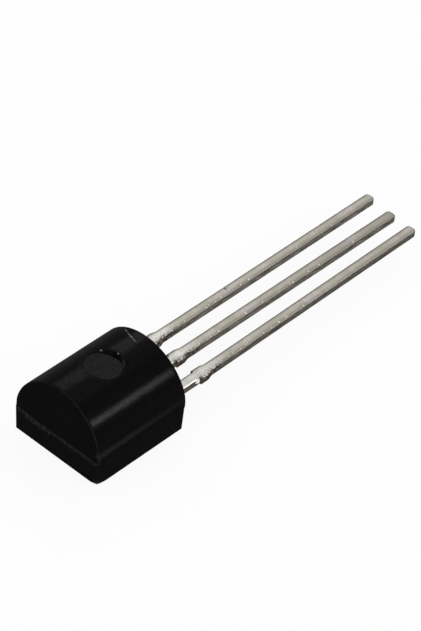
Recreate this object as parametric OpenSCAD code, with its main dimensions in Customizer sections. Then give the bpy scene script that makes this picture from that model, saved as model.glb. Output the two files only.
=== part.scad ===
// Small-signal transistor in the D-shaped TO-92 package.
// The part lies on its flat side. +Z is up towards the crown, +Y runs out along the leads, and X
// crosses the row of leads. The origin is the middle of the flat side.

/* [Moulded body] */
// Width across the row of leads
body_w = 4.4; // [3.9:0.05:5.3]
// Length along the leads
body_l = 4.67; // [4.3:0.01:5.7]
// Height of the parting line above the flat side
parting_h = 1.13; // [0.9:0.01:1.5]
// Draft of the end faces above the parting line, degrees
crown_draft = 2.5; // [0:0.5:4]
// Draft of all four walls below the parting line, degrees
flat_draft = 2; // [0:0.5:4]
// Upright corner radius at the parting line
corner_r = 0.12; // [0.12:0.01:0.4]
// How far the crown sits out of line with the half below the parting line, towards the leads
half_shift = 0.025; // [0:0.005:0.06]

/* [Mould marks] */
// Diameter of the land that the ejector pin leaves on the crown
pin_land_d = 1.62; // [1.2:0.02:2.2]
// Depth of the pin land below the top of the crown
pin_land_depth = 0.13; // [0.05:0.01:0.2]
// Width of the broken gate on the top end of the package
gate_w = 1.4; // [0.8:0.05:1.8]
// Height of the broken gate, measured down from the parting line
gate_h = 0.27; // [0.15:0.01:0.45]
// How far the broken gate stands out of the end face
gate_proud = 0.05; // [0.02:0.01:0.15]
// Middle of the gate, sideways from the middle of the package
gate_x = -0.96; // [-1.1:0.02:1.1]

/* [Leads] */
// Spacing of the leads
lead_pitch = 1.27; // [1.05:0.01:1.53]
// Width of a lead
lead_w = 0.45; // [0.38:0.01:0.55]
// Thickness of the leadframe strip
lead_t = 0.36; // [0.3:0.01:0.5]
// Radius along the long edges of the leads
lead_edge_r = 0.09; // [0.02:0.01:0.12]
// How far the top of the strip lies above the parting line
lead_rise = 0.07; // [0:0.01:0.15]
// Length of the emitter lead outside the body
emitter_len = 14.83; // [8:0.01:16]
// Length of the collector lead outside the body
collector_len = 14.64; // [8:0.01:16]
// Length of the base lead outside the body
base_len = 14.53; // [8:0.01:16]
// Sideways set of the emitter lead beyond its dam-bar stub, degrees
emitter_lean = 0.2; // [-1:0.05:1]
// Sideways set of the base lead beyond its dam-bar stub, degrees
base_lean = 0.45; // [-1:0.05:1]
// Corner radius of the sheared tips
tip_r = 0.1; // [0.04:0.01:0.15]

/* [Dam-bar stubs] */
// Distance from the body to the cut of the dam bar
stub_gap = 1.55; // [0.8:0.05:2.2]
// Length of the full-width stub
stub_l = 0.35; // [0.2:0.05:0.8]
// Length of the taper from the stub to the lead
stub_taper_l = 0.35; // [0.2:0.05:0.8]
// How far the stub stands out on each side of the lead
stub_proud = 0.08; // [0.04:0.01:0.14]

/* [Inside the body] */
// Width of the die paddle
paddle_w = 1.5; // [1.1:0.05:1.6]
// Length of the die paddle
paddle_l = 1.9; // [1.7:0.05:2.0]
// Gap along Y between the paddle and the bonding posts
paddle_gap = 0.2; // [0.15:0.05:0.3]
// Diameter of the anchor hole through the paddle
anchor_d = 0.45; // [0.3:0.05:0.5]
// Width of a bonding post
post_w = 0.72; // [0.6:0.02:0.8]
// Length of a bonding post
post_l = 0.75; // [0.5:0.05:0.8]
// Distance from the lead end of the body to a bonding post
post_inset = 0.8; // [0.6:0.05:0.85]
// Width of the anchor notch behind a bonding post
notch_w = 0.1; // [0.05:0.01:0.12]
// Side of the square silicon die
die_side = 0.5; // [0.3:0.02:0.56]
// Thickness of the silicon die
die_t = 0.15; // [0.1:0.01:0.25]
// Thickness of the conductive adhesive under the die
attach_t = 0.025; // [0.02:0.005:0.04]
// How far the adhesive squeezes out past the die
attach_margin = 0.04; // [0.02:0.01:0.08]
// Diameter of a bond wire
wire_d = 0.05; // [0.03:0.005:0.06]
// Height of a wire loop above the top of the die
loop_h = 0.3; // [0.2:0.02:0.4]
// Diameter of the ball bond on the die
ball_d = 0.11; // [0.1:0.01:0.14]
// Height of the ball bond
ball_h = 0.04; // [0.03:0.005:0.05]

/* [Hidden] */
$fn = 48;
overlap = 0.05;                                  // how far shapes of one piece run into each other
over = 1;                                        // how far a cutter runs past what it cuts

body_black = [0.08, 0.08, 0.09];
tin_grey = [0.74, 0.73, 0.70];
silicon_grey = [0.33, 0.35, 0.42];
adhesive_silver = [0.62, 0.62, 0.64];
gold_yellow = [0.83, 0.66, 0.28];

crown_r = body_w / 2;
crown_z = parting_h + crown_r;                   // top of the crown
crown_inset = crown_r * tan(crown_draft);        // how far an end face leans in at the crown
flat_inset = parting_h * tan(flat_draft);        // how far the walls draw in at the flat side
pin_land_z = crown_z - pin_land_depth;
lead_end_y = body_l / 2;                         // the end that the leads leave by
stamping_end_y = lead_end_y - flat_inset - overlap;                 // just inside the resin

strip_z = parting_h + lead_rise - lead_t;        // underside of the leadframe strip
strip_top_z = strip_z + lead_t;
stub_y = lead_end_y + stub_gap;                  // the cut face of the dam bar
stub_end_y = stub_y + stub_l;
taper_end_y = stub_end_y + stub_taper_l;
stub_w = lead_w + 2 * stub_proud;

post_y = lead_end_y - post_inset - post_l;       // edge of a bonding post that faces the paddle
waist_y = post_y - paddle_gap;                   // edge of the paddle that faces the posts
paddle_y = waist_y - paddle_l;                   // far edge of the paddle
anchor_y = paddle_y + anchor_d;                  // middle of the anchor hole
die_y = waist_y - die_side;                      // middle of the die
die_z = strip_top_z + attach_t;                  // underside of the die
die_top_z = die_z + die_t;
pad_dx = die_side / 4;                           // the two contact pads, either side of the middle

// Rectangle with round corners, centred, in exact arcs
module round_rect(w, l, r) {
    square([w - 2 * r, l], center = true);
    square([w, l - 2 * r], center = true);
    for (sx = [-1, 1], sy = [-1, 1])
        translate([sx * (w / 2 - r), sy * (l / 2 - r)]) circle(r);
}

// Draws a child outline given in X and Z, and runs it along Y from y0 to y1
module along_y(y0, y1) {
    translate([0, y1, 0]) rotate([90, 0, 0]) linear_extrude(y1 - y0) children();
}

// Draws a child outline given in Y and Z, and runs it across X, centred
module across_x(width) {
    translate([-width / 2, 0, 0]) rotate([90, 0, 90]) linear_extrude(width) children();
}

// ---- moulded body ----

// Above the parting line: half a round bar, with end faces that lean in and round corners
module crown_half() {
    intersection() {
        along_y(-body_l / 2, body_l / 2)
            translate([0, parting_h]) intersection() {
                circle(crown_r, $fn = 96);
                translate([-crown_r, 0]) square([body_w, crown_r]);
            }
        across_x(body_w + over)
            polygon([[-body_l / 2, parting_h], [body_l / 2, parting_h],
                     [body_l / 2 - crown_inset, crown_z], [crown_inset - body_l / 2, crown_z]]);
        translate([0, 0, parting_h]) linear_extrude(crown_r + over) round_rect(body_w, body_l, corner_r);
    }
}

// A wall profile that draws in by flat_inset from the parting line down to the flat side
module drafted_profile(size) {
    polygon([[flat_inset - size / 2, 0], [size / 2 - flat_inset, 0],
             [size / 2, parting_h], [-size / 2, parting_h]]);
}

// Below the parting line: four drafted walls that meet in conical corners
module flat_half() {
    corner_x = body_w / 2 - corner_r;
    corner_y = body_l / 2 - corner_r;
    along_y(-corner_y, corner_y) drafted_profile(body_w);
    across_x(2 * corner_x) drafted_profile(body_l);
    for (sx = [-1, 1], sy = [-1, 1])
        translate([sx * corner_x, sy * corner_y, 0])
            cylinder(r1 = corner_r - flat_inset, r2 = corner_r, h = parting_h);
}

// What is left where the runner broke away, just below the parting line on the top end
module gate() {
    translate([gate_x - gate_w / 2, -body_l / 2 - gate_proud, parting_h - gate_h])
        cube([gate_w, gate_proud + flat_inset + overlap, gate_h]);
}

// The resin outside: both halves, the gate, and the flat land that the ejector pin leaves.
// The land is sunk at the top of the crown and stands a little proud at its sides.
module resin_outside() {
    flat_half();
    gate();
    translate([0, half_shift, 0]) difference() {
        union() {
            crown_half();
            translate([0, 0, parting_h]) cylinder(d = pin_land_d, h = pin_land_z - parting_h);
        }
        translate([0, 0, pin_land_z]) cylinder(d = pin_land_d, h = pin_land_depth + over);
    }
}

module moulded_body() {
    color(body_black) difference() {
        resin_outside();
        side_lead_in_body(-lead_pitch);
        side_lead_in_body(lead_pitch);
        collector_in_body();
        silicon_die();
        die_attach();
        emitter_bond_wire();
        base_bond_wire();
    }
}

// ---- leadframe ----

// A straight stretch of lead between two places along Y
module lead_run(w, y0, y1) {
    along_y(y0, y1) translate([0, strip_z + lead_t / 2]) round_rect(w, lead_t, lead_edge_r);
}

// The neck of a lead, from just inside the body to just inside its dam-bar stub
module lead_neck() {
    lead_run(lead_w, stamping_end_y - overlap, stub_y + overlap);
}

// Everything beyond the cut of the dam bar: stub, taper and the long lead with its sheared tip.
// A lean turns it sideways about the cut.
module lead_beyond_cut(len, lean = 0) {
    tip_y = lead_end_y + len;
    sliver = 0.01;
    translate([0, stub_y, 0]) rotate([0, 0, lean]) translate([0, -stub_y, 0]) {
        lead_run(stub_w, stub_y, stub_end_y);
        hull() {
            lead_run(stub_w, stub_end_y - sliver, stub_end_y);
            lead_run(lead_w, taper_end_y, taper_end_y + sliver);
        }
        intersection() {
            lead_run(lead_w, taper_end_y, tip_y);
            translate([0, (stub_y + tip_y) / 2, strip_z])
                linear_extrude(lead_t) round_rect(lead_w, tip_y - stub_y, tip_r);
        }
    }
}

// A flat stamping, given as a plan outline
module stamped() {
    translate([0, 0, strip_z]) linear_extrude(lead_t) children();
}

// A plan rectangle, centred in X, between two places along Y
module plan_run(w, y0, y1) {
    translate([-w / 2, y0]) square([w, y1 - y0]);
}

// The part of a side lead that the body holds: a bonding post, a notched waist and the neck
module side_lead_in_body(x) {
    post_end_y = post_y + post_l;
    notch_end_y = post_end_y + 2 * notch_w;
    translate([x, 0, 0]) {
        lead_neck();
        stamped() {
            plan_run(post_w, post_y, post_end_y);
            plan_run(lead_w - 2 * notch_w, post_end_y - overlap, notch_end_y + overlap);
            plan_run(lead_w, notch_end_y, stamping_end_y);
        }
    }
}

// The part of the middle lead that the body holds: a die paddle, with a hole that locks it into
// the resin, and the neck
module collector_in_body() {
    lead_neck();
    stamped() {
        difference() {
            plan_run(paddle_w, paddle_y, waist_y);
            translate([0, anchor_y]) circle(d = anchor_d);
        }
        plan_run(lead_w, waist_y - overlap, stamping_end_y);
    }
}

module emitter_lead() {
    color(tin_grey) {
        side_lead_in_body(-lead_pitch);
        translate([-lead_pitch, 0, 0]) lead_beyond_cut(emitter_len, emitter_lean);
    }
}

module collector_lead() {
    color(tin_grey) {
        collector_in_body();
        lead_beyond_cut(collector_len);
    }
}

module base_lead() {
    color(tin_grey) {
        side_lead_in_body(lead_pitch);
        translate([lead_pitch, 0, 0]) lead_beyond_cut(base_len, base_lean);
    }
}

// ---- die and its bonds ----

module die_attach() {
    side = die_side + 2 * attach_margin;
    color(adhesive_silver)
        translate([-side / 2, die_y - side / 2, strip_top_z]) cube([side, side, attach_t]);
}

module silicon_die() {
    color(silicon_grey)
        translate([-die_side / 2, die_y - die_side / 2, die_z]) cube([die_side, die_side, die_t]);
}

// A bond wire: a ball on the die pad at side * pad_dx, and an arc down to the middle of the post.
// The arc belongs to the circle, in the upright plane through both ends, that passes through both
// and rises loop_h above the die. It is trimmed flush with the die and with the post.
module bond_wire(side) {
    start = [side * pad_dx, die_y, die_top_z];
    run = [side * (lead_pitch - pad_dx), post_y + post_l / 2 - die_y];
    span = norm(run);
    drop = die_top_z - strip_top_z;
    rise = loop_h + drop;                        // from the post to the top of the loop
    top_u = (sqrt(loop_h * rise * (span * span + drop * drop)) - loop_h * span) / drop;
    loop_r = (top_u * top_u + loop_h * loop_h) / (2 * loop_h);
    color(gold_yellow) translate(start) {
        cylinder(d = ball_d, h = ball_h);
        rotate([0, 0, atan2(run.y, run.x)]) rotate([90, 0, 0]) intersection() {
            translate([top_u, loop_h - loop_r])
                rotate_extrude() translate([loop_r, 0]) circle(d = wire_d, $fn = 24);
            linear_extrude(2 * wire_d, center = true)
                polygon([[-span, 0], [top_u, 0], [top_u, -drop], [2 * span, -drop],
                         [2 * span, span], [-span, span]]);
        }
    }
}

module emitter_bond_wire() {
    bond_wire(-1);
}

module base_bond_wire() {
    bond_wire(1);
}

moulded_body();
emitter_lead();
collector_lead();
base_lead();
silicon_die();
die_attach();
emitter_bond_wire();
base_bond_wire();
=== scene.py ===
import math

import bmesh
import bpy
from mathutils import Matrix, Vector, noise


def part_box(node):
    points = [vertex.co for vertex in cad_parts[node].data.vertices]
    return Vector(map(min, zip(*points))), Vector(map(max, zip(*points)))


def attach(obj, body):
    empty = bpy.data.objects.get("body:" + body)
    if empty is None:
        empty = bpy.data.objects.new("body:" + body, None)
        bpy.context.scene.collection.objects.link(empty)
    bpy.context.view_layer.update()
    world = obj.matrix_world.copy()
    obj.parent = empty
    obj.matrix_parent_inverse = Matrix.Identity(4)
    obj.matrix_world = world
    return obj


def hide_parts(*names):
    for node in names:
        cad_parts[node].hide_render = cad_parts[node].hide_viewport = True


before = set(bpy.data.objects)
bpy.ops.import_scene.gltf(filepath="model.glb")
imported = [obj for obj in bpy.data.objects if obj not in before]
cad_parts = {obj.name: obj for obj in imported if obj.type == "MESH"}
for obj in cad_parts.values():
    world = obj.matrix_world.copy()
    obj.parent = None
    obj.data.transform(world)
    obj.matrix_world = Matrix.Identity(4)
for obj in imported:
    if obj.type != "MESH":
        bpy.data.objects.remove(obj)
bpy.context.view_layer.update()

# A small-signal transistor in a black D-shaped moulded package, lying on its flat side. +Z is up
# towards the crown, +Y runs out along the leads and X crosses their row. Sizes are in millimetres
# up to the point where a vertex or an input is set, and MM turns them into metres.
MM = 0.001

# ---- sizes that the frame gives ----

body_low, body_high = (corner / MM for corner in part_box("moulded_body"))
strip_low, strip_high = (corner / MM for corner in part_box("collector_lead"))
CROWN_R = body_high.x
CROWN_Z = body_high.z
PARTING_Z = CROWN_Z - CROWN_R                    # where the two mould halves met
STRIP_Z = strip_low.z                            # underside of the leadframe strip
LEAD_T = strip_high.z - strip_low.z

# ---- sizes of the moulded body ----

HALF_SHIFT = 0.025                               # the crown sits this far towards the leads
HALF_L = body_high.y - HALF_SHIFT                # half of the length along the leads
GATE_PROUD = -body_low.y - HALF_L
CROWN_DRAFT = math.tan(math.radians(2.5))        # how the end faces lean above the parting line
FLAT_DRAFT = math.tan(math.radians(2))           # how all four walls lean below it
CORNER_R = 0.12                                  # upright corners, at the parting line
EDGE_R = 0.045                                   # all other edges
PARTING_STEP = 0.012                             # half the height of the step at the parting line
FACE_BORDER = 0.03
PIN_R = 0.78                                     # the round land that the ejector pin left
PIN_DEPTH = 0.155                                # its depth at the top of the crown
PIN_Y = -0.02                                    # its middle
PIN_EDGE_R = 0.016
PIN_RAGGED = 0.004                               # how far its rim strays from a circle
# Painted glints on the rim of the pin land: place, size and strength
PIN_RIM_GLINTS = ((-0.60, 0.50, 0.055, 0.5), (0.02, 0.776, 0.05, 0.36), (0.50, 0.59, 0.25, 0.05))
GATE_W = 1.4
GATE_H = 0.27
GATE_X = -0.96
BLUNT_CORNER = (2.16, -2.29, 0.0)                # a knocked lower corner of the top end
BLUNT_REACH = 0.34
BLUNT_DEPTH = 0.075
BLUNT_PUSH = (-0.5, 0.5, 0.7)                    # where the knock moved its point, in depths

# ---- sizes of the leads ----

LEAD_W = 0.45
LEAD_EDGE_R = 0.09                               # upper edges, which the punch rolled over
LOWER_EDGE = 0.3                                 # how round the lower edges are, as a share of that
STUB_CUT_Y = HALF_L + 1.55                       # where the dam bar was cut away
CUT_RAGGED = 0.07                                # how far that cut wanders along the lead
STUB_L = 0.35
TAPER_L = 0.35
STUB_PROUD = 0.08
TIP_R = 0.17
FACE_BULGE = 0.08                                # how much thinner the strip is at its edges, as a share
WAVINESS = 0.014                                 # twice how far the rolled strip may wander
NICK_W = 0.045
RING_STEP = 0.02                                 # along a lead, from one ring of points to the next
BURR_SIZE = 0.0233                               # radius of a crumb of tin before its random stretch
BURR_CHANCE = 0.012                              # for each point of the right-hand edge near the stub
STAMPING_CUT_Y = 2.0                             # inside the resin, where the neck takes over
SEAM_OVERLAP = 0.05                              # how far the neck reaches into the stamping there
SLIVER = 0.0002                                  # edges shorter than this are merged
# Each lead's place across the row, its lean in degrees and the seed of its small unevenness. Then
# how far out a nick in its left edge lies and how deep it is, and the size of a bead of metal that
# the punch left at the step of the stub.
LEADS = (
    ("emitter_lead", -1.27, 0.2, 3, 8.34, 0.06, 0.0),
    ("collector_lead", 0.0, 0.0, 8, 0.0, 0.0, 0.0),
    ("base_lead", 1.27, 0.45, 5, 0.0, 0.0, 0.09),
)

# ---- colours of the tin plating ----

TIN_PALE = (0.515, 0.495, 0.435, 1)
TIN_GREY = (0.345, 0.33, 0.28, 1)
TIN_ROSY = (0.52, 0.475, 0.46, 1)
TIN_DULL = (0.26, 0.24, 0.21, 1)
TIN_NEAR_BODY = (0.64, 0.64, 0.60, 1)
TIN_SPOTS = (0.32, 0.30, 0.26, 1)
# The flanks are darker than the faces, partly as painted shade
FLANK_PALE = (0.26, 0.245, 0.215, 1)
FLANK_DARK = (0.10, 0.092, 0.080, 1)
# Painted shade on the underside of the flanks
PAINTED_UNDER_SHADE = (0.040, 0.037, 0.033, 1)
SHEARED_EDGE = (0.06, 0.052, 0.045, 1)
OUTER_FLANK = (0.055, 0.050, 0.044, 1)
# Dark marks, and the painted dark reflection along the left edge and round the tip
DARK_MARK_AND_PAINTED_EDGE = (0.11, 0.105, 0.095, 1)
STUB_STAIN = (0.050, 0.030, 0.025, 1)
# Painted glints on the burrs, the bead and the neck
PAINTED_GLINT_TIN = (0.92, 0.86, 0.80, 1)

# ---- stage ----

SURROUND = 0.75                                  # radiance of the even white surround
LIT_MIDDLE = (0, 0, 1.5)                         # what every softbox faces
FLOOR_PALE = (0.86, 0.86, 0.86, 1)
FLOOR_WHITE = 0.9                                # the share of plain white that an eye or mirror sees
FLOOR_HALF = 1500
FLOOR_GAP = 0.002                                # keeps the floor just clear of the flat side
CAMERA_ANGLES = (39.472, 41.249, 5.459)          # azimuth, elevation and roll in degrees
CAMERA_AIM = (-0.792, 6.902, 1.020)
CAMERA_AWAY = 110.322
LENS = 161.484
SENSOR_W = 36


# ---- making meshes ----

def new_object(name, mesh):
    made = bpy.data.objects.new(name, mesh)
    bpy.context.scene.collection.objects.link(made)
    return made


def mesh_from(bm, name):
    """Turns a bmesh into a smooth mesh with its faces pointing outwards."""
    bmesh.ops.recalc_face_normals(bm, faces=bm.faces)
    mesh = bpy.data.meshes.new(name)
    bm.to_mesh(mesh)
    bm.free()
    mesh.shade_smooth()
    return mesh


def apply_modifiers(piece):
    """Turns a piece with modifiers into a plain mesh."""
    shaped = piece.evaluated_get(bpy.context.evaluated_depsgraph_get())
    mesh = bpy.data.meshes.new_from_object(shaped)
    piece.modifiers.clear()
    piece.data = mesh
    return piece


def unite(piece, other):
    """Joins two closed solids into one skin, and merges the slivers along the seam."""
    union = piece.modifiers.new("union", "BOOLEAN")
    union.operation = "UNION"
    union.solver = "MANIFOLD"
    union.object = other
    apply_modifiers(piece)
    bpy.data.objects.remove(other)
    bm = bmesh.new()
    bm.from_mesh(piece.data)
    bmesh.ops.remove_doubles(bm, verts=bm.verts, dist=SLIVER * MM)
    bmesh.ops.dissolve_degenerate(bm, dist=SLIVER * MM, edges=bm.edges)
    bm.to_mesh(piece.data)
    bm.free()
    return piece


# ---- making the moulded body ----

def wall_x(z):
    """Half width of the body at a height below the parting line."""
    return CROWN_R - (PARTING_Z - z) * FLAT_DRAFT


def crown_z(x):
    """Height of the crown at a distance from its middle."""
    return PARTING_Z + math.sqrt(CROWN_R ** 2 - x * x)


def half_outline(flat_cells=8, foot_cells=5, wall_cells=6, crown_cells=48):
    """One side of the D-shaped section, from the middle of the flat side to the top of the crown.
    Each place gives a point on the wall, the point where the end face begins there, how far the
    rounded edge between the two sets back, and the share of HALF_SHIFT that it takes."""
    places = []
    foot_r = CORNER_R - PARTING_Z * FLAT_DRAFT
    foot_x = wall_x(EDGE_R) - EDGE_R
    inner_x = wall_x(EDGE_R) - foot_r
    for k in range(flat_cells):
        t = k / flat_cells
        places.append(((t * foot_x, 0), (t * inner_x, EDGE_R), EDGE_R, 0))
    for k in range(foot_cells + 1):
        t = k / foot_cells
        turn = math.radians(90 * (t - 1))
        outer = (foot_x + EDGE_R * math.cos(turn), EDGE_R * (1 + math.sin(turn)))
        places.append((outer, (inner_x, EDGE_R), EDGE_R + t * (foot_r - EDGE_R), 0))
    first_z, last_z = 2 * EDGE_R, PARTING_Z - PARTING_STEP
    for k in range(wall_cells + 1):
        z = first_z + (last_z - first_z) * k / wall_cells
        corner = CORNER_R - (PARTING_Z - z) * FLAT_DRAFT
        places.append(((wall_x(z), z), (wall_x(z) - corner, z), corner, 0))
    for rise, share in ((-0.4, 0.15), (0, 0.6), (0.4, 0.93)):    # over the step of the parting line
        z = PARTING_Z + rise * PARTING_STEP
        places.append(((wall_x(min(z, PARTING_Z)), z), (CROWN_R - CORNER_R, z), CORNER_R, share))
    start = math.asin(PARTING_STEP / CROWN_R)
    fade = math.sqrt(CROWN_R ** 2 - (CROWN_R - CORNER_R) ** 2)   # where the corner has run out
    for k in range(crown_cells + 1):
        turn = start + (math.pi / 2 - start) * k / crown_cells
        across, up = math.cos(turn), math.sin(turn)
        edge = max(EDGE_R, CORNER_R * (1 - CROWN_R * up / fade))
        places.append(((CROWN_R * across, PARTING_Z + CROWN_R * up),
                       ((CROWN_R - edge) * across, PARTING_Z + (CROWN_R - edge) * up), edge, 1))
    return places


def end_y(z, end, share):
    """Where an end face stands at a height. The end is -1 for the top end and 1 for the lead end."""
    draft = CROWN_DRAFT if z > PARTING_Z else FLAT_DRAFT
    return end * (HALF_L - abs(z - PARTING_Z) * draft) + share * HALF_SHIFT


def edge_column(place, end, cells=5):
    """The points of one place round the rounded edge, from the end face back to the wall."""
    outer, inner, edge, share = place
    points = []
    for k in range(cells + 1):
        turn = math.pi / 2 * (1 - k / cells)
        blend = 1 - math.cos(turn)
        x = outer[0] + (inner[0] - outer[0]) * blend
        z = outer[1] + (inner[1] - outer[1]) * blend
        points.append(Vector((x, end_y(z, end, share) - end * edge * (1 - math.sin(turn)), z)))
    return points


def body_columns(places, rings_y):
    """A column of points along the body for each place of the whole outline."""
    columns = []
    for place in places:
        outer = place[0]
        top_edge = edge_column(place, -1)
        lead_edge = edge_column(place, 1)
        column = top_edge + [Vector((outer[0], y, outer[1])) for y in rings_y] + lead_edge[::-1]
        columns.append(column)
    return columns


def fill_pin_land(bm, border):
    """Fills the opening in the crown with the round land that the ejector pin leaves: level, and
    so sunk at the top of the crown, with hardly a wall where the crown falls away beside it."""
    floor_z = CROWN_Z - PIN_DEPTH
    angles = [math.atan2(v.co.y / MM - PIN_Y, v.co.x / MM) for v in border]

    def ring(radius, height):
        made = []
        for angle in angles:
            around = Vector((3 * math.cos(angle), 3 * math.sin(angle), 0))
            ragged = radius + PIN_RAGGED * noise.noise(around)
            x, y = ragged * math.cos(angle), ragged * math.sin(angle)
            wall = crown_z(x) - floor_z
            step = max(-PIN_EDGE_R, min(PIN_EDGE_R, wall / 2))
            made.append(bm.verts.new(Vector((x, y + PIN_Y, height(crown_z(x), step))) * MM))
        return made

    loops = [border]
    for t in (0.75, 0.5, 0.25):
        loop = []
        for v, angle in zip(border, angles):
            rim = Vector(((PIN_R + PIN_EDGE_R) * math.cos(angle),
                          (PIN_R + PIN_EDGE_R) * math.sin(angle) + PIN_Y, 0))
            between = rim.lerp(v.co / MM, t)
            loop.append(bm.verts.new(Vector((between.x, between.y, crown_z(between.x))) * MM))
        loops.append(loop)
    loops.append(ring(PIN_R + PIN_EDGE_R, lambda crown, step: crown))
    loops.append(ring(PIN_R + 0.3 * PIN_EDGE_R, lambda crown, step: crown - 0.3 * step))
    loops.append(ring(PIN_R, lambda crown, step: crown - step))
    loops.append(ring(PIN_R, lambda crown, step: floor_z + step))
    loops.append(ring(PIN_R - 0.3 * PIN_EDGE_R, lambda crown, step: floor_z + 0.3 * step))
    for share in (1 - PIN_EDGE_R / PIN_R, 0.93, 0.6, 0.3):
        loops.append(ring(PIN_R * share, lambda crown, step: floor_z))
    for outer, inner in zip(loops, loops[1:]):
        for k in range(len(outer)):
            after = (k + 1) % len(outer)
            bm.faces.new((outer[k], outer[after], inner[after], inner[k]))
    bm.faces.new(loops[-1])


def body_mesh(patch_half=1.12, patch_rings=14, patch_places=18):
    """The resin outside: both mould halves with rounded edges, their offset, and the pin land. The
    land fills an open patch of the crown, which reaches patch_half and this many rings from its
    middle along the body, and this many places of the outline across it."""
    half = half_outline()
    last = len(half) - 1
    mirrored = [((-outer[0], outer[1]), (-inner[0], inner[1]), edge, share)
                for outer, inner, edge, share in half[last - 1:0:-1]]
    places = half + mirrored
    middle = [PIN_Y + k * patch_half / patch_rings for k in range(-patch_rings, patch_rings + 1)]
    rings_y = [-2.1, -1.8, -1.45] + middle + [1.5, 1.85, 2.1]
    columns = body_columns(places, rings_y)
    count, length = len(columns), len(columns[0])

    first_place, last_place = last - patch_places, last + patch_places
    first_ring = columns[0].index(next(p for p in columns[0] if abs(p.y - middle[0]) < 1e-6))
    last_ring = first_ring + len(middle) - 1

    bm = bmesh.new()
    verts = {}
    for s in range(count):
        for r in range(length):
            if not (first_place < s < last_place and first_ring < r < last_ring):
                verts[s, r] = bm.verts.new(columns[s][r] * MM)
    for s in range(count):
        after = (s + 1) % count
        for r in range(length - 1):
            if not (first_place <= s < last_place and first_ring <= r < last_ring):
                bm.faces.new((verts[s, r], verts[after, r], verts[after, r + 1], verts[s, r + 1]))
    border = [verts[s, first_ring] for s in range(first_place, last_place)]
    border += [verts[last_place, r] for r in range(first_ring, last_ring)]
    border += [verts[s, last_ring] for s in range(last_place, first_place, -1)]
    border += [verts[first_place, r] for r in range(last_ring, first_ring, -1)]
    fill_pin_land(bm, border)

    # The end faces: one flat face in each mould half, and the step of the parting line between
    parting = next(k for k, place in enumerate(half) if place[3] > 0)
    lower, upper = parting - 1, parting + 3
    faces = []
    for r in (0, length - 1):
        faces.append(bm.faces.new([verts[s % count, r] for s in range(-lower, lower + 1)]))
        faces.append(bm.faces.new([verts[s, r] for s in range(upper, count - upper + 1)]))
        for s in range(lower, upper):
            bm.faces.new((verts[s, r], verts[s + 1, r], verts[count - s - 1, r], verts[count - s, r]))

    for v in bm.verts:
        away = (v.co / MM - Vector(BLUNT_CORNER)).length
        share = max(0.0, 1 - away / BLUNT_REACH)
        v.co += Vector(BLUNT_PUSH) * BLUNT_DEPTH * share * MM
    # A narrow border inside each flat face keeps the shading of the rounded edge off it
    bmesh.ops.recalc_face_normals(bm, faces=bm.faces)
    bmesh.ops.inset_individual(bm, faces=faces, thickness=FACE_BORDER * MM)
    return mesh_from(bm, "moulded_body_skin")


def gate_mesh(cells_x=56, cells_z=12, root=0.12, sunk=0.006):
    """The stump where the runner broke away: a ragged patch just below the parting line. It is
    rooted this deep in the body, and where nothing stands proud it lies sunk under the face."""
    bm = bmesh.new()
    back_y = -HALF_L + root
    rows = []
    for j in range(cells_z + 1):
        row = []
        for i in range(cells_x + 1):
            u, v = i / cells_x, j / cells_z
            x = GATE_X + (u - 0.5) * GATE_W
            z = PARTING_Z - GATE_H * (1 - v)
            rough = noise.fractal(Vector((5 * x, 11 * z, 2.7)), 0.9, 2.2, 5)
            edge = min(1, 9 * min(u, 1 - u)) * min(1, 5 * v) * (1 - 0.75 * v ** 6)
            proud = GATE_PROUD * max(0.0, min(1.0, (0.5 + 0.8 * rough) * edge))
            y = end_y(z, -1, 0) + sunk - proud
            row.append(bm.verts.new(Vector((x, y, z)) * MM))
        rows.append(row)
    for low, high in zip(rows, rows[1:]):
        for a, b, c, d in zip(low, low[1:], high[1:], high):
            bm.faces.new((a, b, c, d))
    border = rows[0] + [row[-1] for row in rows[1:]]
    border += rows[-1][-2::-1] + [row[0] for row in rows[-2:0:-1]]
    backs = [bm.verts.new(Vector((v.co.x, back_y * MM, v.co.z))) for v in border]
    for k in range(len(border)):
        after = (k + 1) % len(border)
        bm.faces.new((border[k], backs[k], backs[after], border[after]))
    bm.faces.new(backs)
    return mesh_from(bm, "gate_stump")


def make_body(material):
    body = new_object("resin_body", body_mesh())
    unite(body, new_object("gate_stump", gate_mesh()))
    body.data.materials.clear()
    body.data.materials.append(material)
    body.data.shade_smooth()
    flat_faces = body.modifiers.new("flat_faces", "WEIGHTED_NORMAL")
    flat_faces.weight = 80
    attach(body, "root")
    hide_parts("moulded_body")
    return body


# ---- nodes, for materials and for the leads ----

def add(tree, kind, inputs=None, **settings):
    """Adds a node. An input's value is a number, a colour or the output of another node."""
    made = tree.nodes.new(kind)
    for name, value in settings.items():
        setattr(made, name, value)
    for key, value in (inputs or {}).items():
        if isinstance(value, bpy.types.NodeSocket):
            tree.links.new(value, made.inputs[key])
        else:
            made.inputs[key].default_value = value
    return made


def maths(tree, operation, *values, clamp=False):
    """One step of arithmetic."""
    inputs = dict(enumerate(values))
    return add(tree, "ShaderNodeMath", inputs, operation=operation, use_clamp=clamp).outputs[0]


def product(tree, first, *others):
    """Multiplies values, most of which are shares from 0 to 1."""
    for other in others:
        first = maths(tree, "MULTIPLY", first, other)
    return first


def distance(tree, value, middle):
    """How far a number is from another one."""
    return maths(tree, "ABSOLUTE", maths(tree, "SUBTRACT", value, middle))


def vectors(tree, operation, first, second=None, scale=None):
    """One step of arithmetic on vectors, whose result is a vector or a length."""
    inputs = {0: first}
    if second is not None:
        inputs[1] = second
    if scale is not None:
        inputs["Scale"] = scale
    made = add(tree, "ShaderNodeVectorMath", inputs, operation=operation)
    return made.outputs["Value" if operation in ("LENGTH", "DISTANCE") else "Vector"]


def split(tree, vector):
    """The three parts of a vector."""
    return add(tree, "ShaderNodeSeparateXYZ", {0: vector}).outputs


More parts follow.
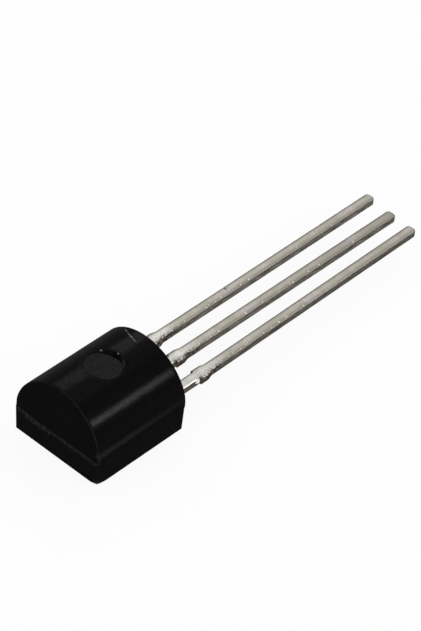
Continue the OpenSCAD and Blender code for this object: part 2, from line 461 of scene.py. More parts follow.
def ease(tree, value, low, high, at_low=0.0, at_high=1.0):
    """Goes smoothly from at_low to at_high while the value goes from low to high."""
    inputs = {"Value": value, "From Min": low, "From Max": high, "To Min": at_low, "To Max": at_high}
    return add(tree, "ShaderNodeMapRange", inputs, interpolation_type="SMOOTHSTEP").outputs["Result"]


def mix_colours(tree, share, first, second):
    """The first colour where the share is 0, the second where it is 1."""
    mixer = add(tree, "ShaderNodeMix", data_type="RGBA", clamp_factor=True)
    sockets = mixer.inputs[0], mixer.inputs[6], mixer.inputs[7]
    for socket, value in zip(sockets, (share, first, second)):
        if isinstance(value, bpy.types.NodeSocket):
            tree.links.new(value, socket)
        else:
            socket.default_value = value
    return mixer.outputs[2]


def grey(level, warmth=0.0):
    """A neutral colour, a little redder for more warmth."""
    return (level * (1 + warmth), level, level * (1 - warmth), 1)


# ---- making the leads ----

def store(tree, geometry, name, value):
    """Keeps a number on every point, for the finish to read."""
    inputs = {"Geometry": geometry, "Name": name, "Value": value}
    return add(tree, "GeometryNodeStoreNamedAttribute", inputs,
               data_type="FLOAT", domain="POINT").outputs[0]


def lead_tree():
    """A lead as the punch leaves it: a strip with rounded edges, the stub of the dam bar, the
    taper down to the long shank, and a rounded tip. It is drawn round the Y axis and then moved
    sideways and up to its place."""
    tree = bpy.data.node_groups.new("punched_lead", "GeometryNodeTree")
    sizes = ("Width", "Thickness", "Edge Radius", "Face Bulge", "Start", "Cut", "Stub Length",
             "Taper Length", "Stub Proud", "Tip", "Tip Radius", "Lean", "Across", "Height", "Ring Step",
             "Waviness", "Nick At", "Nick Width", "Nick Depth", "Bead Size", "Burr Size", "Burr Chance")
    for name in sizes:
        tree.interface.new_socket(name, in_out="INPUT", socket_type="NodeSocketFloat")
    tree.interface.new_socket("Seed", in_out="INPUT", socket_type="NodeSocketInt")
    tree.interface.new_socket("Finish", in_out="INPUT", socket_type="NodeSocketMaterial")
    tree.interface.new_socket("Lead", in_out="OUTPUT", socket_type="NodeSocketGeometry")
    given = add(tree, "NodeGroupInput").outputs

    corners = add(tree, "GeometryNodeCurvePrimitiveQuadrilateral",
                  {"Width": given["Width"], "Height": given["Thickness"]})
    # The section's negative Y becomes the upper side of the strip
    corner_y = split(tree, add(tree, "GeometryNodeInputPosition").outputs[0])["Y"]
    upper = maths(tree, "LESS_THAN", corner_y, 0.0)
    roundness = maths(tree, "MULTIPLY_ADD", upper, 1 - LOWER_EDGE, LOWER_EDGE)
    edge_radius = maths(tree, "MULTIPLY", given["Edge Radius"], roundness)
    rounded = add(tree, "GeometryNodeFilletCurve",
                  {"Curve": corners.outputs[0], "Count": 5, "Radius": edge_radius}, mode="POLY")
    section = add(tree, "GeometryNodeSubdivideCurve", {"Curve": rounded.outputs[0], "Cuts": 2})
    start = add(tree, "ShaderNodeCombineXYZ", {"Y": given["Start"]}).outputs[0]
    tip = add(tree, "ShaderNodeCombineXYZ", {"Y": given["Tip"]}).outputs[0]
    line = add(tree, "GeometryNodeCurvePrimitiveLine", {"Start": start, "End": tip})
    rings = add(tree, "GeometryNodeResampleCurve",
                {"Curve": line.outputs[0], "Length": given["Ring Step"]}, mode="LENGTH")
    upright = add(tree, "GeometryNodeSetCurveNormal", {"Curve": rings.outputs[0]}, mode="Z_UP")
    swept = add(tree, "GeometryNodeCurveToMesh",
                {"Curve": upright.outputs[0], "Profile Curve": section.outputs[0], "Fill Caps": True})

    position = add(tree, "GeometryNodeInputPosition").outputs[0]
    x, y, z = split(tree, position)
    half_width = maths(tree, "MULTIPLY", given["Width"], 0.5)
    half_height = maths(tree, "MULTIPLY", given["Thickness"], 0.5)
    side = maths(tree, "DIVIDE", x, half_width)
    sided = store(tree, swept.outputs[0], "side", side)

    # The stub: an abrupt step at the cut, its full width, then an easy taper
    seed = maths(tree, "MULTIPLY", given["Seed"], 3.7)
    ragged = add(tree, "ShaderNodeTexNoise", {"Vector": position, "W": seed, "Scale": 9 / MM},
                 noise_dimensions="4D").outputs[0]
    cut = maths(tree, "SUBTRACT", given["Cut"], CUT_RAGGED / 2 * MM)
    cut = maths(tree, "MULTIPLY_ADD", ragged, CUT_RAGGED * MM, cut)
    beyond = maths(tree, "GREATER_THAN", y, cut)
    stub_end = maths(tree, "ADD", given["Cut"], given["Stub Length"])
    taper_end = maths(tree, "ADD", stub_end, given["Taper Length"])
    stub = maths(tree, "MULTIPLY", beyond, ease(tree, y, stub_end, taper_end, 1, 0))
    wider = maths(tree, "MULTIPLY", stub, maths(tree, "DIVIDE", given["Stub Proud"], half_width))

    # The tip: the last rings turn through a quarter round, wide in plan and lower from the side
    tip_start = maths(tree, "SUBTRACT", given["Tip"], given["Tip Radius"])
    into = maths(tree, "DIVIDE", maths(tree, "SUBTRACT", y, tip_start), given["Tip Radius"], clamp=True)
    turn = maths(tree, "MULTIPLY", into, math.pi / 2)
    along = maths(tree, "SUBTRACT", maths(tree, "SINE", turn), into)
    along = maths(tree, "MULTIPLY_ADD", along, given["Tip Radius"], y)
    drawn_in = maths(tree, "SUBTRACT", 1.0, maths(tree, "COSINE", turn))
    drawn_in = maths(tree, "MULTIPLY", drawn_in, given["Tip Radius"])
    narrower = maths(tree, "DIVIDE", drawn_in, half_width)
    thinner = maths(tree, "MULTIPLY", maths(tree, "DIVIDE", drawn_in, half_height), 0.6)

    # The faces bulge a little, and a nick may cross the left edge
    squared = maths(tree, "MULTIPLY", side, side)
    thinner = maths(tree, "MULTIPLY_ADD", squared, given["Face Bulge"], thinner)
    nick = ease(tree, distance(tree, y, given["Nick At"]), 0.0, given["Nick Width"], 1, 0)
    nick = product(tree, nick, ease(tree, side, -0.9, 0.3, 1, 0), given["Nick Depth"])
    across = maths(tree, "ADD", 1.0, maths(tree, "SUBTRACT", wider, narrower))
    across = maths(tree, "MULTIPLY_ADD", x, across, nick)
    up = maths(tree, "MULTIPLY", z, maths(tree, "SUBTRACT", 1.0, thinner))
    up = maths(tree, "SUBTRACT", up, maths(tree, "MULTIPLY", nick, maths(tree, "SIGN", z)))

    # Its own lean, and the slow unevenness of a rolled and plated strip
    past_cut = maths(tree, "MAXIMUM", maths(tree, "SUBTRACT", y, given["Cut"]), 0.0)
    leaned = maths(tree, "MULTIPLY", past_cut, maths(tree, "TANGENT", given["Lean"]))
    uneven = add(tree, "ShaderNodeTexNoise",
                 {"Vector": position, "W": seed, "Scale": 1.6 / MM, "Detail": 3.0},
                 noise_dimensions="4D").outputs["Color"]
    uneven = vectors(tree, "SUBTRACT", uneven, (0.5, 0.5, 0.5))
    uneven = vectors(tree, "SCALE", uneven, scale=given["Waviness"])
    uneven = vectors(tree, "MULTIPLY", uneven, (1, 0, 1))
    shaped = add(tree, "ShaderNodeCombineXYZ", {
        "X": maths(tree, "ADD", maths(tree, "SUBTRACT", across, leaned), given["Across"]),
        "Y": along,
        "Z": maths(tree, "ADD", up, given["Height"])}).outputs[0]

    # Dark marks: a painted dark reflection in a line along the left edge and round the tip, and marks at
    # the nick and the step of the stub. A painted glint runs along the right edge where the strip leaves
    # the body.
    rim = maths(tree, "MAXIMUM", ease(tree, side, -0.68, -0.52, 1, 0), ease(tree, into, 0.45, 0.8))
    nicked = maths(tree, "DIVIDE", nick, maths(tree, "MAXIMUM", given["Nick Depth"], 1e-9))
    at_step = ease(tree, distance(tree, y, cut), 0.02 * MM, 0.045 * MM, 1, 0)
    at_step = product(tree, at_step, ease(tree, maths(tree, "ABSOLUTE", side), 0.7, 0.9))
    dark = maths(tree, "MAXIMUM", nicked, at_step)
    dark = maths(tree, "MAXIMUM", product(tree, rim, 0.85), dark)
    marked = store(tree, sided, "dark", dark)
    neck = ease(tree, maths(tree, "SUBTRACT", given["Cut"], y), 0.1 * MM, 0.2 * MM)
    neck = product(tree, neck, maths(tree, "COMPARE", side, 0.83, 0.11),
                   maths(tree, "GREATER_THAN", z, 0.0))
    marked = store(tree, marked, "bright", product(tree, neck, 0.7))
    placed = add(tree, "GeometryNodeSetPosition",
                 {"Geometry": marked, "Position": shaped, "Offset": uneven})

    # How far each spot faces sideways, where the punch cut the metal and the finish paints shade: the
    # flanks, the step and the tip
    outwards = add(tree, "GeometryNodeInputNormal").outputs[0]
    normal = split(tree, outwards)
    level = maths(tree, "ABSOLUTE", normal["Z"])
    marked = store(tree, placed.outputs[0], "sheared", ease(tree, level, 0.1, 0.85, 1, 0))
    # The underside, which the finish darkens as painted shade
    marked = store(tree, marked, "under", ease(tree, normal["Z"], -0.5, 0.0, 1, 0))

    # Burrs: tiny crumbs of tin along the right-hand edge, most of them near the stub, each with a
    # painted glint
    on_edge = add(tree, "FunctionNodeCompare", {"A": level, "B": 0.9, "Epsilon": 0.09},
                  data_type="FLOAT", operation="EQUAL").outputs[0]
    chance = product(tree, given["Burr Chance"], ease(tree, y, taper_end, given["Tip"], 1.0, 0.0),
                     maths(tree, "GREATER_THAN", normal["X"], 0.1),
                     maths(tree, "GREATER_THAN", normal["Z"], 0.1),
                     maths(tree, "GREATER_THAN", y, taper_end))
    chosen = add(tree, "FunctionNodeRandomValue", {"Probability": chance, "Seed": given["Seed"]},
                 data_type="BOOLEAN").outputs[3]
    picked = add(tree, "FunctionNodeBooleanMath", {0: on_edge, 1: chosen}, operation="AND").outputs[0]
    crumb = add(tree, "GeometryNodeMeshIcoSphere", {"Radius": given["Burr Size"], "Subdivisions": 2})
    crumb_mark = store(tree, crumb.outputs[0], "bright", 1.0)
    stretch = add(tree, "FunctionNodeRandomValue",
                  {0: (0.5, 0.6, 0.3), 1: (1.3, 2.0, 0.9), "Seed": given["Seed"]},
                  data_type="FLOAT_VECTOR").outputs[0]
    crumbs = add(tree, "GeometryNodeInstanceOnPoints",
                 {"Points": marked, "Selection": picked, "Instance": crumb_mark, "Scale": stretch})

    # The bead at the step, a lump that the noise dents, with a painted glint on it
    bead = add(tree, "GeometryNodeMeshIcoSphere", {"Radius": given["Bead Size"], "Subdivisions": 4})
    dents = add(tree, "ShaderNodeTexNoise", {"Vector": position, "Scale": 14 / MM, "Detail": 2.0})
    dents = product(tree, maths(tree, "SUBTRACT", dents.outputs[0], 0.5), given["Bead Size"])
    dented = vectors(tree, "SCALE", outwards, scale=dents)
    bead = add(tree, "GeometryNodeSetPosition", {"Geometry": bead.outputs[0], "Offset": dented})
    bead_place = add(tree, "ShaderNodeCombineXYZ", {
        "X": maths(tree, "ADD", given["Across"], half_width),
        "Y": maths(tree, "SUBTRACT", given["Cut"], product(tree, given["Bead Size"], 2.0)),
        "Z": maths(tree, "ADD", given["Height"], product(tree, half_height, 0.35))}).outputs[0]
    bead = add(tree, "GeometryNodeTransform",
               {"Geometry": bead.outputs[0], "Translation": bead_place, "Scale": (0.9, 1.3, 1.1)})
    bead = store(tree, bead.outputs[0], "bright", 0.8)
    has_bead = maths(tree, "GREATER_THAN", given["Bead Size"], 0.0)
    bead = add(tree, "GeometryNodeSwitch", {"Switch": has_bead, "True": bead}, input_type="GEOMETRY")

    crumbs = add(tree, "GeometryNodeRealizeInstances", {0: crumbs.outputs[0]})
    welded = add(tree, "GeometryNodeMeshBoolean", operation="UNION", solver="MANIFOLD")
    for part in (marked, crumbs.outputs[0], bead.outputs[0]):
        tree.links.new(part, welded.inputs["Mesh 2"])
    realized = add(tree, "GeometryNodeRealizeInstances", {0: welded.outputs[0]})
    smooth = add(tree, "GeometryNodeSetShadeSmooth", {0: realized.outputs[0]})
    finished = add(tree, "GeometryNodeSetMaterial",
                   {"Geometry": smooth.outputs[0], "Material": given["Finish"]})
    add(tree, "NodeGroupOutput", {0: finished.outputs[0]})
    return tree


def grow(name, tree, values):
    """Runs a geometry tree with its named inputs and keeps the result as a plain mesh."""
    grown = new_object(name, bpy.data.meshes.new(name))
    nodes = grown.modifiers.new("grow", "NODES")
    nodes.node_group = tree
    for item in tree.interface.items_tree:
        if item.item_type == "SOCKET" and item.in_out == "INPUT":
            nodes[item.identifier] = values[item.name]
    return apply_modifiers(grown)


def inner_stamping(node, material):
    """The part of a lead that the resin hides, cut from the frame's own solid."""
    bm = bmesh.new()
    bm.from_mesh(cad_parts[node].data)
    bmesh.ops.remove_doubles(bm, verts=bm.verts, dist=1e-7)
    cut = bmesh.ops.bisect_plane(bm, geom=bm.verts[:] + bm.edges[:] + bm.faces[:], clear_outer=True,
                                 plane_co=(0, STAMPING_CUT_Y * MM, 0), plane_no=(0, 1, 0))
    rim = [e for e in cut["geom_cut"] if isinstance(e, bmesh.types.BMEdge)]
    bmesh.ops.edgeloop_fill(bm, edges=rim)
    mesh = mesh_from(bm, node + "_stamping")
    mesh.shade_flat()
    mesh.materials.clear()
    mesh.materials.append(material)
    return new_object(node + "_stamping", mesh)


def make_lead(node, across, lean, seed, nick_y, nick_depth, bead, tree, material):
    """One lead from its neck to the frame's tip, joined to the stamping that the resin hides."""
    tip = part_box(node)[1].y
    values = {
        "Width": LEAD_W * MM, "Thickness": LEAD_T * MM, "Edge Radius": LEAD_EDGE_R * MM,
        "Face Bulge": FACE_BULGE, "Start": (STAMPING_CUT_Y - SEAM_OVERLAP) * MM, "Cut": STUB_CUT_Y * MM,
        "Stub Length": STUB_L * MM, "Taper Length": TAPER_L * MM, "Stub Proud": STUB_PROUD * MM,
        "Tip": tip, "Tip Radius": TIP_R * MM, "Lean": math.radians(lean), "Across": across * MM,
        "Height": (STRIP_Z + LEAD_T / 2) * MM, "Ring Step": RING_STEP * MM, "Waviness": WAVINESS * MM,
        "Nick At": nick_y * MM, "Nick Width": NICK_W * MM, "Nick Depth": nick_depth * MM,
        "Bead Size": bead * MM, "Burr Size": BURR_SIZE * MM, "Burr Chance": BURR_CHANCE, "Seed": seed,
        "Finish": material,
    }
    lead = grow("plated_" + node, tree, values)
    unite(lead, inner_stamping(node, material))
    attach(lead, "root")
    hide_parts(node)
    return lead


# ---- making materials ----

def new_material(name):
    """An empty material with one shader, its node tree and that shader."""
    material = bpy.data.materials.new(name)
    material.use_nodes = True
    tree = material.node_tree
    tree.nodes.clear()
    shader = add(tree, "ShaderNodeBsdfPrincipled")
    add(tree, "ShaderNodeOutputMaterial", {"Surface": shader.outputs[0]})
    return material, tree, shader


def drive(tree, shader, **values):
    """Links values that vary over the surface to the shader's sockets."""
    for name, value in values.items():
        tree.links.new(value, shader.inputs[name.replace("_", " ")])


def places_in_mm(tree):
    """The place on the object, in millimetres."""
    where = add(tree, "ShaderNodeTexCoord").outputs["Object"]
    return vectors(tree, "SCALE", where, scale=1 / MM)


def facing(tree):
    """Which way the surface faces, as the three parts of its normal."""
    return split(tree, add(tree, "ShaderNodeNewGeometry").outputs["Normal"])


def cloud(tree, where, scale, detail=2.0, roughness=0.5, stretch=(1, 1, 1)):
    """Soft noise from 0 to 1, with this many waves a millimetre, drawn out along an axis."""
    spread = add(tree, "ShaderNodeMapping", {"Vector": where, "Scale": stretch}).outputs[0]
    inputs = {"Vector": spread, "Scale": scale, "Detail": detail, "Roughness": roughness}
    return add(tree, "ShaderNodeTexNoise", inputs).outputs["Fac"]


def layers(tree, colour, *coats):
    """Lays colours over the first one, each with its own share."""
    for share, coat in coats:
        colour = mix_colours(tree, share, colour, coat)
    return colour


def bump(tree, height, depth, below=None):
    """Relief of this depth in millimetres, over the relief below it."""
    inputs = {"Height": height, "Distance": depth * MM, "Strength": 1.0}
    if below is not None:
        inputs["Normal"] = below
    return add(tree, "ShaderNodeBump", inputs).outputs[0]


def scratch_mark(tree, where, middle, length, turn, width):
    """1 along a fine bent scratch and 0 elsewhere, seen in plan."""
    moved = vectors(tree, "SUBTRACT", where, (middle[0], middle[1], 0))
    turned = add(tree, "ShaderNodeVectorRotate",
                 {"Vector": moved, "Angle": math.radians(-turn)}, rotation_type="Z_AXIS")
    along, across, _ = split(tree, turned.outputs[0])
    bend = product(tree, along, along, 0.16)
    thin = ease(tree, distance(tree, across, bend), 0.2 * width, width, 1, 0)
    ends = ease(tree, maths(tree, "ABSOLUTE", along), 0.3 * length, 0.5 * length, 1, 0)
    broken = ease(tree, cloud(tree, where, 7.0, 3.0), 0.38, 0.6, 0.25, 1)
    return product(tree, thin, ends, broken)


def spot(tree, plan, x, y, size):
    """1 at a place seen in plan, falling to 0 at this distance."""
    return ease(tree, vectors(tree, "DISTANCE", plan, (x, y, 0)), 0.4 * size, size, 1, 0)


def painted_edge_highlights_and_wear(tree, where):
    """How pale the resin is along its edges, with painted highlights: faintly along the round edges of
    the end faces, more to the right and near the flat side, and more along the parting line of the top
    end.
    It is palest at the knocked corner, which is rubbed."""
    x, y, z = split(tree, where)
    along = maths(tree, "ABSOLUTE", facing(tree)["Y"])
    edge = product(tree,
                   ease(tree, along, 0.1, 0.35), ease(tree, along, 0.9, 0.99, 1, 0),
                   ease(tree, x, -1.2, 1.4, 0.04, 0.18),
                   ease(tree, z, PARTING_Z - 0.1, PARTING_Z + 0.2, 0.35, 1),
                   ease(tree, z, 0.05, 0.15, 4, 1),
                   ease(tree, cloud(tree, where, 6.0, 3.0), 0.35, 0.65, 0.5, 1.2))
    line = product(tree,
                   ease(tree, y, -HALF_L + 0.07, -HALF_L + 0.04),
                   ease(tree, distance(tree, z, PARTING_Z), 0.012, 0.035, 0.25, 0),
                   ease(tree, cloud(tree, where, 5.0, 3.0), 0.35, 0.6, 0.3, 1))
    knocked = ease(tree, vectors(tree, "DISTANCE", where, BLUNT_CORNER), 0.1, BLUNT_REACH, 0.5, 0)
    return maths(tree, "MAXIMUM", knocked, maths(tree, "MAXIMUM", edge, line))


def painted_rim_glints(tree, where):
    """How bright the painted glints on the rim of the pin land are. They lie in the skin of the crown
    and don't run down the wall of the land."""
    plan = vectors(tree, "MULTIPLY", where, (1, 1, 0))
    from_pin = vectors(tree, "DISTANCE", plan, (0, PIN_Y, 0))
    at_rim = ease(tree, distance(tree, from_pin, PIN_R + PIN_EDGE_R), 0.01, 0.03, 1, 0)
    from_axis = vectors(tree, "SUBTRACT", where, (0, 0, PARTING_Z))
    from_axis = vectors(tree, "LENGTH", vectors(tree, "MULTIPLY", from_axis, (1, 0, 1)))
    at_skin = ease(tree, from_axis, CROWN_R - 0.06, CROWN_R - 0.03)
    glints = 0.0
    for x, y, size, glint_strength in PIN_RIM_GLINTS:
        chip = product(tree, spot(tree, plan, x, y, size), glint_strength)
        glints = maths(tree, "MAXIMUM", glints, chip)
    return product(tree, glints, at_skin, at_rim)


def moulding_resin():
    """Black epoxy from a polished mould: deep black and satin, with a painted reflection on the left
    shoulder, a scratch on the crown, painted highlights and some rubbed wear along the edges, painted
    glints on the rim of the pin land, and a rough gate."""
    material, tree, shader = new_material("moulding_resin")
    where = places_in_mm(tree)
    x, y, z = split(tree, where)
    upward = facing(tree)["Z"]
    mottle = cloud(tree, where, 1.4, 3.0)
    filler = cloud(tree, where, 34.0, 2.0, 0.6)
    flow = cloud(tree, where, 5.5, 3.0, 0.55, (1, 0.4, 1))

    scratch = scratch_mark(tree, where, middle=(-0.44, 1.86), length=1.15, turn=-21.5, width=0.045)
    scratch = product(tree, scratch, ease(tree, z, 2.0, 2.5))
    at_end = ease(tree, y, -HALF_L + 0.01, -HALF_L - 0.004)
    broken = product(tree, at_end, ease(tree, z, PARTING_Z - GATE_H, PARTING_Z, 0.35, 1))
    crumbly = product(tree, broken, ease(tree, cloud(tree, where, 16.0, 4.0, 0.7), 0.42, 0.68))
    # A pale film on the left shoulder, which is a painted reflection of a soft light
    painted_sheen = product(tree, ease(tree, x, -0.7, -1.6), ease(tree, upward, 0.1, 0.3))
    black = mix_colours(tree, mottle, grey(0.0014, -0.12), grey(0.0024, 0.14))
    # Over the black: the painted reflection, filler specks, the scratch, the rough gate, painted edge
    # highlights with rubbed wear, and painted glints on the rim of the pin land
    black = layers(tree, black,
                   (painted_sheen, grey(0.007, 0.14)),
                   (product(tree, filler, 0.35), grey(0.0034, 0.08)),
                   (product(tree, scratch, 0.9), grey(0.15, 0.08)),
                   (product(tree, crumbly, 0.9), grey(0.045, 0.02)),
                   (painted_edge_highlights_and_wear(tree, where), grey(0.045, 0.04)),
                   (painted_rim_glints(tree, where), grey(0.4, 0.04)))
    rough = ease(tree, mottle, 0.3, 0.7, 0.2, 0.27)
    rough = maths(tree, "ADD", rough, product(tree, maths(tree, "MAXIMUM", scratch, broken), 0.3))

    # The mould was polished along the leads, so the gloss varies in long soft bands. A line low on
    # the right side is rubbed shinier, and more so towards the top end.
    bands = cloud(tree, where, 3.2, 3.0, 0.55, (1, 0.05, 1))
    rubbed = product(tree, ease(tree, distance(tree, z, 1.51), 0.03, 0.2, 1, 0),
                     ease(tree, x, 1.95, 2.1), ease(tree, y, -2.0, 2.0, 0.14, 0.06))
    gloss = product(tree, ease(tree, upward, 0.05, 0.5), ease(tree, bands, 0.3, 0.7, 0.026, 0.040))
    gloss = maths(tree, "ADD", maths(tree, "ADD", gloss, 0.033), rubbed)
    gloss = product(tree, gloss, ease(tree, cloud(tree, where, 13.0, 2.0, 0.6), 0.3, 0.7, 0.7, 1.3))

    skin = bump(tree, flow, 0.0035)
    skin = bump(tree, filler, 0.0007, skin)
    skin = bump(tree, scratch, -0.006, skin)
    drive(tree, shader, Base_Color=black, Roughness=rough, Normal=skin, Coat_Weight=gloss,
          Coat_Normal=skin)
    shader.inputs["Specular IOR Level"].default_value = 0.0
    shader.inputs["Coat Roughness"].default_value = 0.2
    return material


def mark_on(tree, name):
    """A number that the lead tree stored."""
    return add(tree, "ShaderNodeAttribute", attribute_name=name).outputs["Fac"]


def tin_plating():
    """Matt tin over a punched strip: pale and blotchy on the rolled faces, dark and brownish on the
    flanks that the punch cut, darkened partly as painted shade, paler beside the body, and stained brown
    round the stub, with painted dark edges and painted glints."""
    material, tree, shader = new_material("tin_plating")
    where = places_in_mm(tree)
    x, y, _ = split(tree, where)
    sheared, under, side, dark, bright = (
        mark_on(tree, name) for name in ("sheared", "under", "side", "dark", "bright"))
    patches = cloud(tree, where, 2.6, 4.0, 0.62, (1, 0.5, 1))
    tint = cloud(tree, where, 0.8, 2.0)
    spots = cloud(tree, where, 9.0, 3.0, 0.6)
    drawn = cloud(tree, where, 14.0, 3.0, 0.6, (1, 0.12, 1))

    # The rolled faces: painted shade makes them a little duller to their right, and they are duller far
    # out on the middle lead
    middle_lead = ease(tree, maths(tree, "ABSOLUTE", x), 0.5, 0.9, 1, 0.2)
    far_out = product(tree, middle_lead, ease(tree, y, 6, 15))
    # The tin is paler beside the body
    beside_body = ease(tree, y, STUB_CUT_Y + 0.5, STUB_CUT_Y + 1.8, 1, 0)
    tin = mix_colours(tree, ease(tree, patches, 0.35, 0.65), TIN_GREY, TIN_PALE)
    tin = layers(tree, tin,
                 (ease(tree, tint, 0.46, 0.62, 0, 0.8), TIN_ROSY),
                 (ease(tree, side, 0.1, 0.9, 0, 0.6), TIN_DULL),
                 (product(tree, far_out, 0.4), TIN_DULL),
                 (product(tree, beside_body, 0.85), TIN_NEAR_BODY),
                 (ease(tree, spots, 0.45, 0.7, 0, 0.35), TIN_SPOTS))

    # The flanks that the punch cut, darkened partly as painted shade: painted shade below, and darker
    # along the edge where they meet the faces and on the outer right lead
    sheared_edge = product(tree, ease(tree, sheared, 0.3, 0.6), ease(tree, sheared, 0.7, 1.0, 1, 0),
                           ease(tree, spots, 0.4, 0.55))
    flank = mix_colours(tree, ease(tree, drawn, 0.35, 0.65), FLANK_DARK, FLANK_PALE)
    flank = layers(tree, flank,
                   (product(tree, under, 0.75), PAINTED_UNDER_SHADE),
                   (product(tree, sheared_edge, 0.8), SHEARED_EDGE),
                   (ease(tree, x, 0.8, 1.0, 0, 0.4), OUTER_FLANK))

    # Both together, with the stain round the stub and the marks that the lead tree stored: dark marks
    # with a painted dark reflection along the edges, and painted glints
    near_stub = product(tree, ease(tree, y, STUB_CUT_Y - 0.3, STUB_CUT_Y + 0.1),
                        ease(tree, y, STUB_CUT_Y + 0.6, STUB_CUT_Y + 2.2, 1, 0))
    stain = product(tree, near_stub, ease(tree, side, 0.35, 0.95), ease(tree, spots, 0.38, 0.56))
    ragged = maths(tree, "MULTIPLY_ADD", maths(tree, "SUBTRACT", spots, 0.5), 0.9, sheared)
    metal = layers(tree, tin,
                   (ease(tree, ragged, 0.3, 0.7), flank),
                   (dark, DARK_MARK_AND_PAINTED_EDGE),
                   (product(tree, stain, 0.9), STUB_STAIN),
                   (bright, PAINTED_GLINT_TIN))

    rough = maths(tree, "SUBTRACT", patches, product(tree, bright, 0.5))
    skin = bump(tree, drawn, 0.002)
    skin = bump(tree, spots, 0.004, skin)
    drive(tree, shader, Base_Color=metal, Roughness=ease(tree, rough, 0.0, 0.8, 0.4, 0.66),
          Normal=skin)
    shader.inputs["Metallic"].default_value = 1.0
    shader.inputs["Specular Tint"].default_value = (0.3, 0.3, 0.3, 1)
    return material


def silicon():
    """The chip: blue-grey, with a fine dark grid of cell lines on its top."""
    material, tree, shader = new_material("silicon")
    where = places_in_mm(tree)
    x, y, _ = split(tree, where)
    cell_pitch = 0.06
    line_half = 0.004

    def line(value):
        return maths(tree, "COMPARE", maths(tree, "PINGPONG", value, cell_pitch / 2), 0.0, line_half)

    cells = maths(tree, "MAXIMUM", line(x), line(y))
    shade = cloud(tree, where, 6.0, 3.0)
    colour = mix_colours(tree, shade, (0.05, 0.06, 0.10, 1), (0.09, 0.10, 0.15, 1))
    colour = mix_colours(tree, product(tree, cells, 0.7), colour, (0.02, 0.02, 0.03, 1))
    drive(tree, shader, Base_Color=colour, Roughness=ease(tree, shade, 0.3, 0.7, 0.12, 0.25),
          Normal=bump(tree, cells, -0.0005))
    return material


def die_adhesive():
    """Silver-filled paste: grey, with bright flakes."""
    material, tree, shader = new_material("die_adhesive")
    where = places_in_mm(tree)
    flakes = add(tree, "ShaderNodeTexVoronoi", {"Vector": where, "Scale": 60.0}).outputs["Color"]
    flake = add(tree, "ShaderNodeSeparateColor", {0: flakes}).outputs[0]
    paste, silver = (0.30, 0.30, 0.31, 1), (0.62, 0.62, 0.63, 1)
    colour = mix_colours(tree, ease(tree, flake, 0.5, 0.9), paste, silver)
    drive(tree, shader, Base_Color=colour, Roughness=ease(tree, flake, 0.4, 1.0, 0.7, 0.35),
          Normal=bump(tree, flake, 0.002))
    shader.inputs["Metallic"].default_value = 0.6
    return material


def gold_wire():
    """Drawn gold, with faint lines along it."""
    material, tree, shader = new_material("gold_wire")
    where = places_in_mm(tree)
    streak = cloud(tree, where, 40.0, 2.0, 0.5, (0.3, 1, 1))
    colour = mix_colours(tree, streak, (0.80, 0.55, 0.20, 1), (0.92, 0.70, 0.32, 1))
    drive(tree, shader, Base_Color=colour, Roughness=ease(tree, streak, 0.3, 0.7, 0.2, 0.34),
          Normal=bump(tree, streak, 0.0006))
    shader.inputs["Metallic"].default_value = 1.0
    return material


def finish_node(node, material):
    """Gives a piece of the frame that stays as it is its own finish."""
    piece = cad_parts[node]
    piece.data.materials.clear()
    piece.data.materials.append(material)


# ---- making the stage ----

def make_floor():
    """A pale floor. What looks at it straight or in a mirror sees it nearly white, with a part of
    its shadows, and the light that it sends back to the object is that of a plain pale surface."""
    material, tree, shader = new_material("pale_floor")
    tree.nodes.remove(shader)
    path = add(tree, "ShaderNodeLightPath").outputs
    seen = maths(tree, "MAXIMUM", path["Is Camera Ray"],
                 maths(tree, "MAXIMUM", path["Is Glossy Ray"], path["Is Transmission Ray"]))
    pale = add(tree, "ShaderNodeBsdfDiffuse", {"Color": FLOOR_PALE}).outputs[0]
    white = add(tree, "ShaderNodeEmission", {"Color": (1, 1, 1, 1), "Strength": 1.0}).outputs[0]
    shown = add(tree, "ShaderNodeMixShader", {0: product(tree, seen, FLOOR_WHITE), 1: pale, 2: white})
    output = next(node for node in tree.nodes if node.type == "OUTPUT_MATERIAL")
    tree.links.new(shown.outputs[0], output.inputs["Surface"])

    bm = bmesh.new()
    bmesh.ops.create_grid(bm, x_segments=1, y_segments=1, size=FLOOR_HALF * MM)
    mesh = bpy.data.meshes.new("floor")
    bm.to_mesh(mesh)
    bm.free()
    mesh.materials.append(material)
    floor = new_object("floor", mesh)
    floor.location.z = -FLOOR_GAP * MM


def make_world():
    """An even white surround."""
    world = bpy.data.worlds.new("studio")
    world.use_nodes = True
    background = world.node_tree.nodes["Background"]
    background.inputs["Color"].default_value = (1, 1, 1, 1)
    background.inputs["Strength"].default_value = SURROUND
    bpy.context.scene.world = world


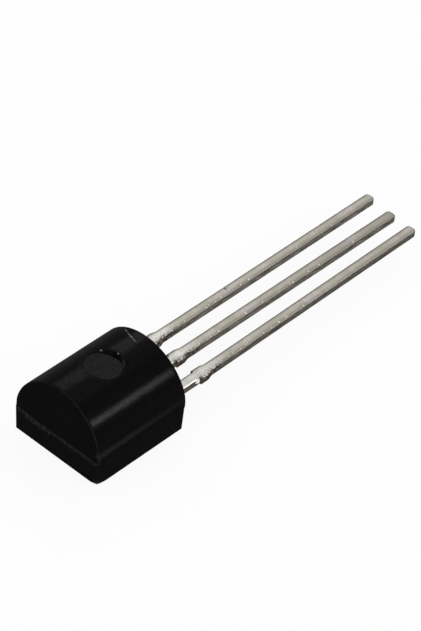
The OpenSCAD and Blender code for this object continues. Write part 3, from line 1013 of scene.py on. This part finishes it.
def softbox(name, toward, away, across, along, radiance):
    """A soft light at this distance from the middle of the body, which it faces. Across and along
    are its sizes, square to the leads and along them. Its radiance is what a mirror shows of it."""
    toward = Vector(toward).normalized()
    side = Vector((0, 1, 0)).cross(toward).normalized()
    lamp = bpy.data.lights.new(name, "AREA")
    lamp.shape = "RECTANGLE"
    lamp.size = across * MM
    lamp.size_y = along * MM
    lamp.energy = radiance * math.pi * lamp.size * lamp.size_y
    made = bpy.data.objects.new(name, lamp)
    place = (toward * away + Vector(LIT_MIDDLE)) * MM
    turn = Matrix((side, toward.cross(side), toward)).transposed()
    made.matrix_world = Matrix.Translation(place) @ turn.to_4x4()
    made.visible_camera = False
    bpy.context.scene.collection.objects.link(made)


def make_lights():
    """A large light in front, and three smaller ones behind, which each put a soft gleam on one
    band of the crown."""
    softbox("front_softbox", toward=(0.1, -0.8, 0.5), away=300, across=380, along=170, radiance=1.4)
    softbox("left_window", toward=(-0.56, 0.58, 0.58), away=150, across=62, along=34, radiance=3.7)
    softbox("high_panel", toward=(-0.2, 0.58, 0.78), away=150, across=100, along=60, radiance=0.5)
    softbox("right_strip", toward=(0.675, 0.49, 0.45), away=150, across=20, along=18, radiance=28.0)


def make_camera():
    """Above the top end and to the right, turned a little so that the leads run up to the right."""
    azimuth, elevation, roll = (math.radians(angle) for angle in CAMERA_ANGLES)
    back = Vector((math.sin(azimuth) * math.cos(elevation), -math.cos(azimuth) * math.cos(elevation),
                   math.sin(elevation)))
    right = Vector((math.cos(azimuth), math.sin(azimuth), 0))
    up = back.cross(right)
    rolled_right = math.cos(roll) * right + math.sin(roll) * up
    rolled_up = math.cos(roll) * up - math.sin(roll) * right
    data = bpy.data.cameras.new("camera")
    data.sensor_width = SENSOR_W
    data.lens = LENS
    data.clip_start = 5 * MM
    data.clip_end = 10
    camera = bpy.data.objects.new("camera", data)
    place = (Vector(CAMERA_AIM) + CAMERA_AWAY * back) * MM
    turn = Matrix((rolled_right, rolled_up, back)).transposed()
    camera.matrix_world = Matrix.Translation(place) @ turn.to_4x4()
    bpy.context.scene.collection.objects.link(camera)
    bpy.context.scene.camera = camera


# ---- the whole object ----

make_camera()
tin = tin_plating()
make_body(moulding_resin())
punched_lead = lead_tree()
for lead_values in LEADS:
    make_lead(*lead_values, punched_lead, tin)
finish_node("silicon_die", silicon())
finish_node("die_attach", die_adhesive())
gold = gold_wire()
for wire in ("emitter_bond_wire", "base_bond_wire"):
    finish_node(wire, gold)
make_floor()
make_world()
make_lights()
bpy.context.scene.view_settings.view_transform = "Standard"
